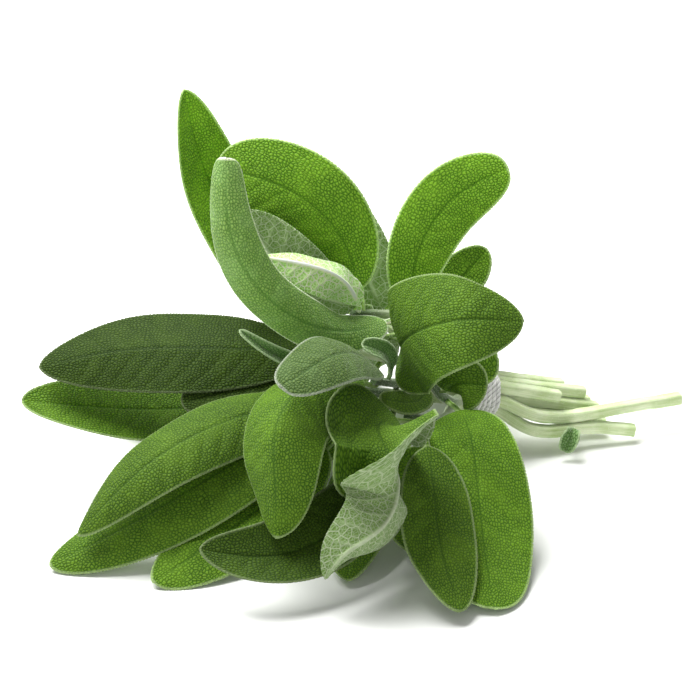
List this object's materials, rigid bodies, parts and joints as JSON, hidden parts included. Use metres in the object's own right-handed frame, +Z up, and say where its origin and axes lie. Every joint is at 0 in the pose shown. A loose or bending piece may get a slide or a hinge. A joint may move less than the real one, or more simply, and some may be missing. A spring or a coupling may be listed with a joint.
{
  "type": "tied bunch of fresh sage",
  "caption": "Cut sprigs of fresh sage with broad pebbled leaves, bound near their cut ends with white cotton twine and lying down.",
  "frame": {"origin": "middle of the bunch's footprint, on the surface that it lies on", "axes": "+Z up, +X from the leaves toward the cut ends of the stems, -Y toward the side where the broad front leaves fan out"},
  "size_m": [0.2162, 0.164, 0.1221],
  "materials": {
    "sage_leaf": "mature sage leaf: pebbled, matte, finely felted, paler and veined underneath",
    "young_sage_leaf": "young sage leaf: pale grey-green and densely felted",
    "sage_stem": "soft green sage stem, four-sided, covered with short white hairs",
    "cotton_twine": "twisted white cotton kitchen twine, matte"
  },
  "bodies": {
    "root": {"leaf_behind_pale": "sage_leaf", "leaf_centre_dark": "sage_leaf", "leaf_front_crown": "sage_leaf", "leaf_front_floor": "sage_leaf", "leaf_front_hanging": "sage_leaf", "leaf_front_left_lower": "sage_leaf", "leaf_front_left_middle": "sage_leaf", "leaf_front_left_upper": "sage_leaf", "leaf_front_right_inner": "sage_leaf", "leaf_front_right_outer": "sage_leaf", "leaf_front_twisted": "sage_leaf", "leaf_inner_front": "sage_leaf", "leaf_inner_left": "sage_leaf", "leaf_inner_lower_left": "sage_leaf", "leaf_inner_right": "sage_leaf", "leaf_left_inner": "sage_leaf", "leaf_left_long": "sage_leaf", "leaf_left_lower": "sage_leaf", "leaf_pale_underside": "sage_leaf", "leaf_rear_high": "sage_leaf", "leaf_rear_left_arching": "sage_leaf", "leaf_rear_left_floor": "sage_leaf", "leaf_rear_left_low": "sage_leaf", "leaf_rear_left_upper": "sage_leaf", "leaf_rear_middle": "sage_leaf", "leaf_rear_right": "sage_leaf", "leaf_rear_right_upper": "sage_leaf", "leaf_rear_top": "sage_leaf", "leaf_rear_upright": "sage_leaf", "leaf_right_hood": "sage_leaf", "leaf_right_small": "sage_leaf", "leaf_right_tucked": "sage_leaf", "leaf_right_tucked_rear": "sage_leaf", "leaf_rolled_upright": "sage_leaf", "leaf_tall_back": "sage_leaf", "leaf_top_broad": "sage_leaf", "leaf_under_left": "sage_leaf", "leaf_under_stems": "sage_leaf", "leaf_upper_right": "sage_leaf", "stem_A": "sage_stem", "stem_B": "sage_stem", "stem_C": "sage_stem", "stem_D": "sage_stem", "stem_E": "sage_stem", "stem_F": "sage_stem", "stem_G": "sage_stem", "stem_H": "sage_stem", "twine_band": "cotton_twine", "twine_end_long": "cotton_twine", "twine_end_short": "cotton_twine", "twine_knot": "cotton_twine", "young_leaf_centre": "young_sage_leaf", "young_leaf_left": "young_sage_leaf", "young_leaf_on_stem": "young_sage_leaf"}
  },
  "joints": []
}
